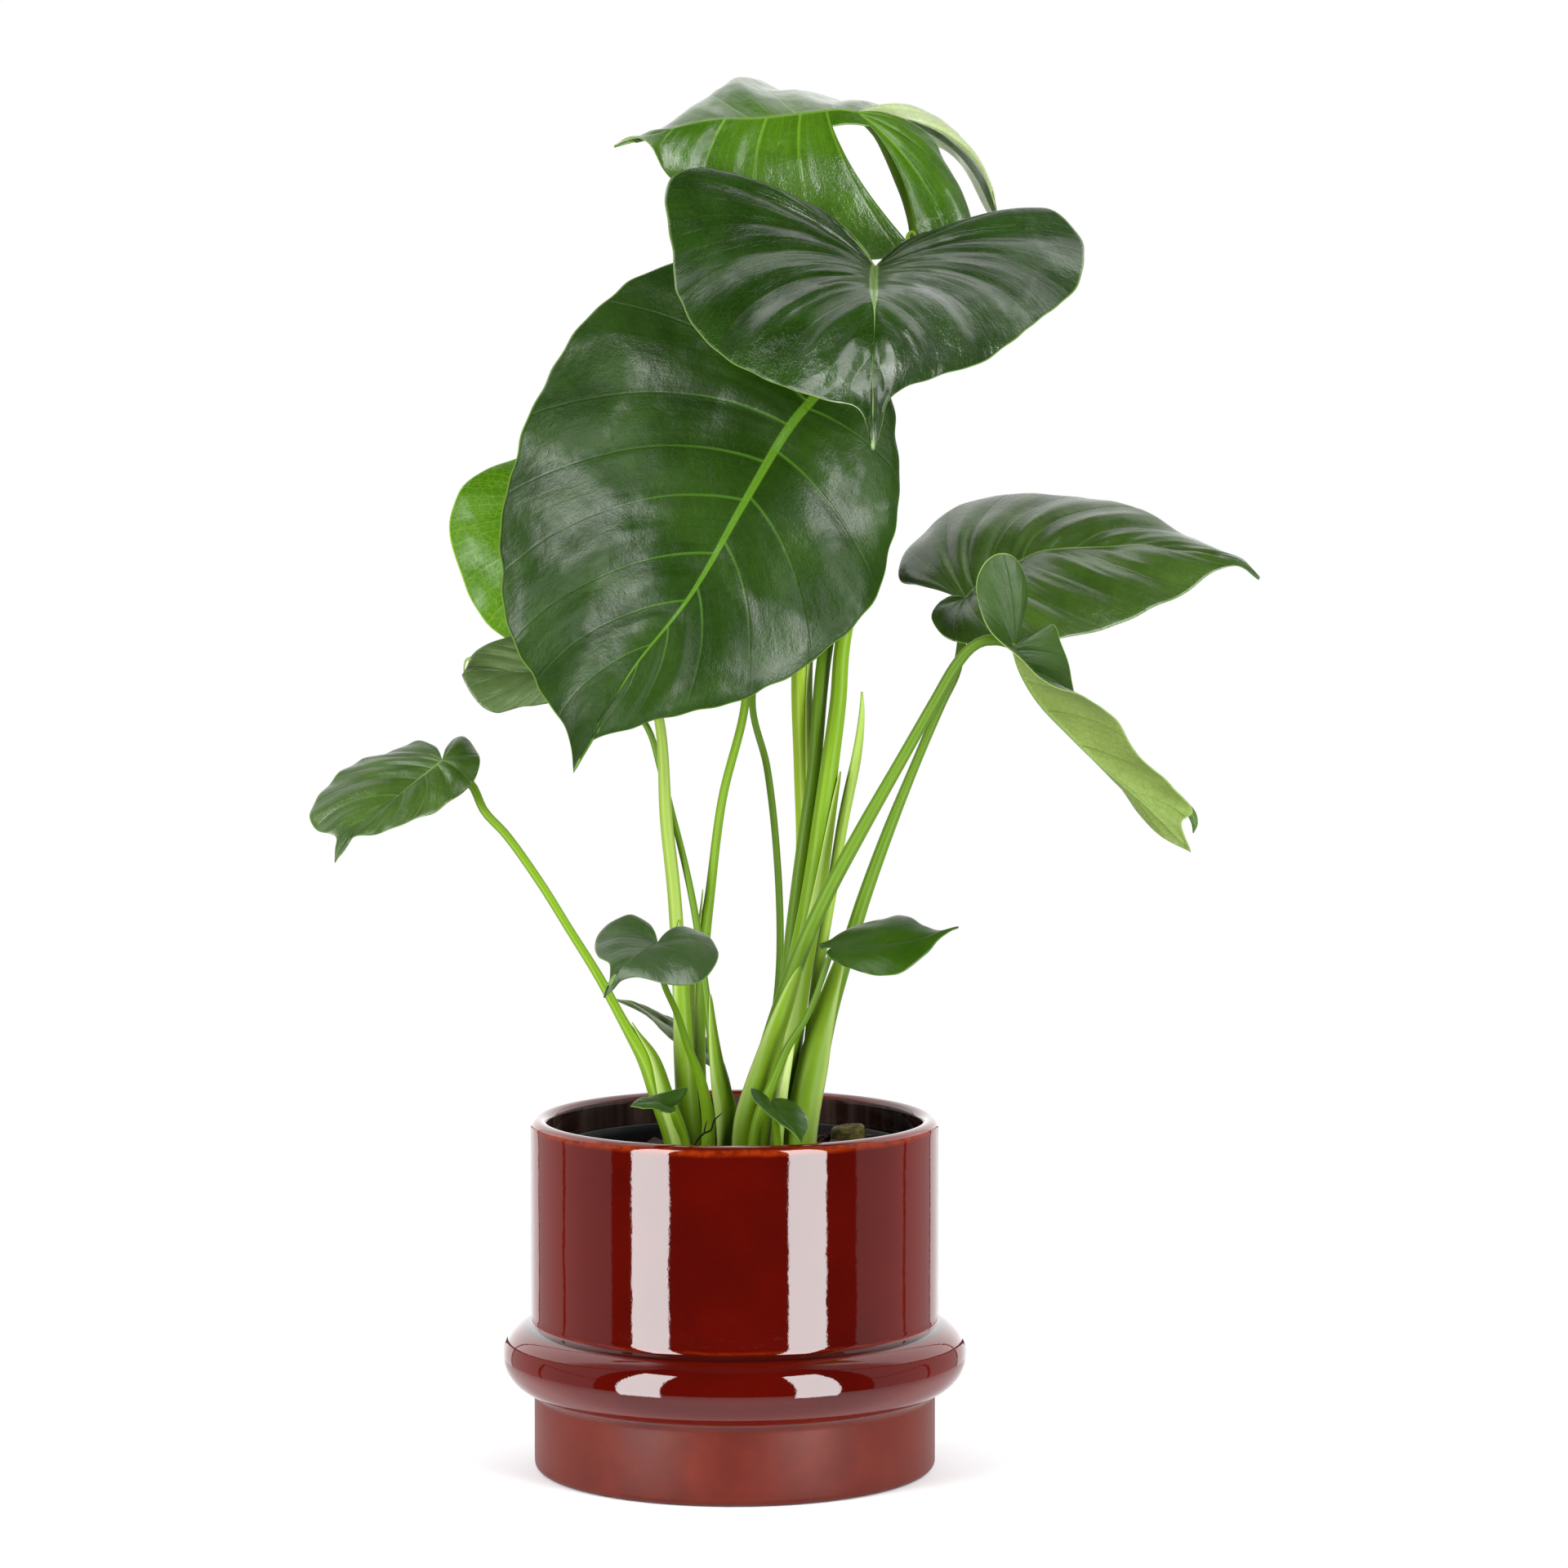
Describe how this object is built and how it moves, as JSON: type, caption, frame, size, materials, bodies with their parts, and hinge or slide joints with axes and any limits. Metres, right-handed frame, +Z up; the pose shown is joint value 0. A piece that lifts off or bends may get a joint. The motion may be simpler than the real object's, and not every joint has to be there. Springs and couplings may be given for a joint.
{
  "type": "potted swiss cheese plant",
  "caption": "Climbing aroid house plant with glossy heart-shaped leaves, one of them split, in a nursery pot inside a round glazed cover pot with a ring.",
  "frame": {"origin": "centre of the cover pot's flat underside", "axes": "+Z up along the pot's axis, -Y toward the side that the plant faces, +X to the viewer's right"},
  "size_m": [0.4395, 0.2384, 0.6492],
  "materials": {
    "glaze": "glossy oxblood glaze, thinner and orange-brown on the rim and beside the ring",
    "black_plastic": "satin black",
    "soil": "dark peat with bark pieces",
    "leaf": "glossy dark green, paler veins and rim",
    "young_leaf": "glossy yellow-green",
    "stalk": "satin light green",
    "dry_sheath": "thin pale yellow-green, translucent"
  },
  "bodies": {
    "root": {"cover_pot": "glaze", "nursery_pot": "black_plastic", "potting_soil": "soil", "blade_heart": "leaf", "stalk_heart": "stalk", "blade_shield": "leaf", "stalk_shield": "stalk", "blade_top": "leaf", "stalk_top": "stalk", "blade_right_leaf": "leaf", "stalk_right_leaf": "stalk", "blade_drooping": "leaf", "stalk_drooping": "stalk", "blade_left_leaf": "leaf", "stalk_left_leaf": "stalk", "blade_bright": "young_leaf", "stalk_bright": "stalk", "blade_dark": "leaf", "stalk_dark": "stalk", "blade_small_heart": "leaf", "stalk_small_heart": "stalk", "blade_small_ovate": "leaf", "stalk_small_ovate": "stalk", "blade_sliver": "leaf", "stalk_sliver": "stalk", "blade_rim_left": "leaf", "stalk_rim_left": "stalk", "blade_rim_right": "leaf", "stalk_rim_right": "stalk", "blade_back_left": "leaf", "stalk_back_left": "stalk", "blade_back_right": "leaf", "stalk_back_right": "stalk", "new_leaf_spike": "stalk", "old_sheath": "dry_sheath"}
  },
  "joints": []
}
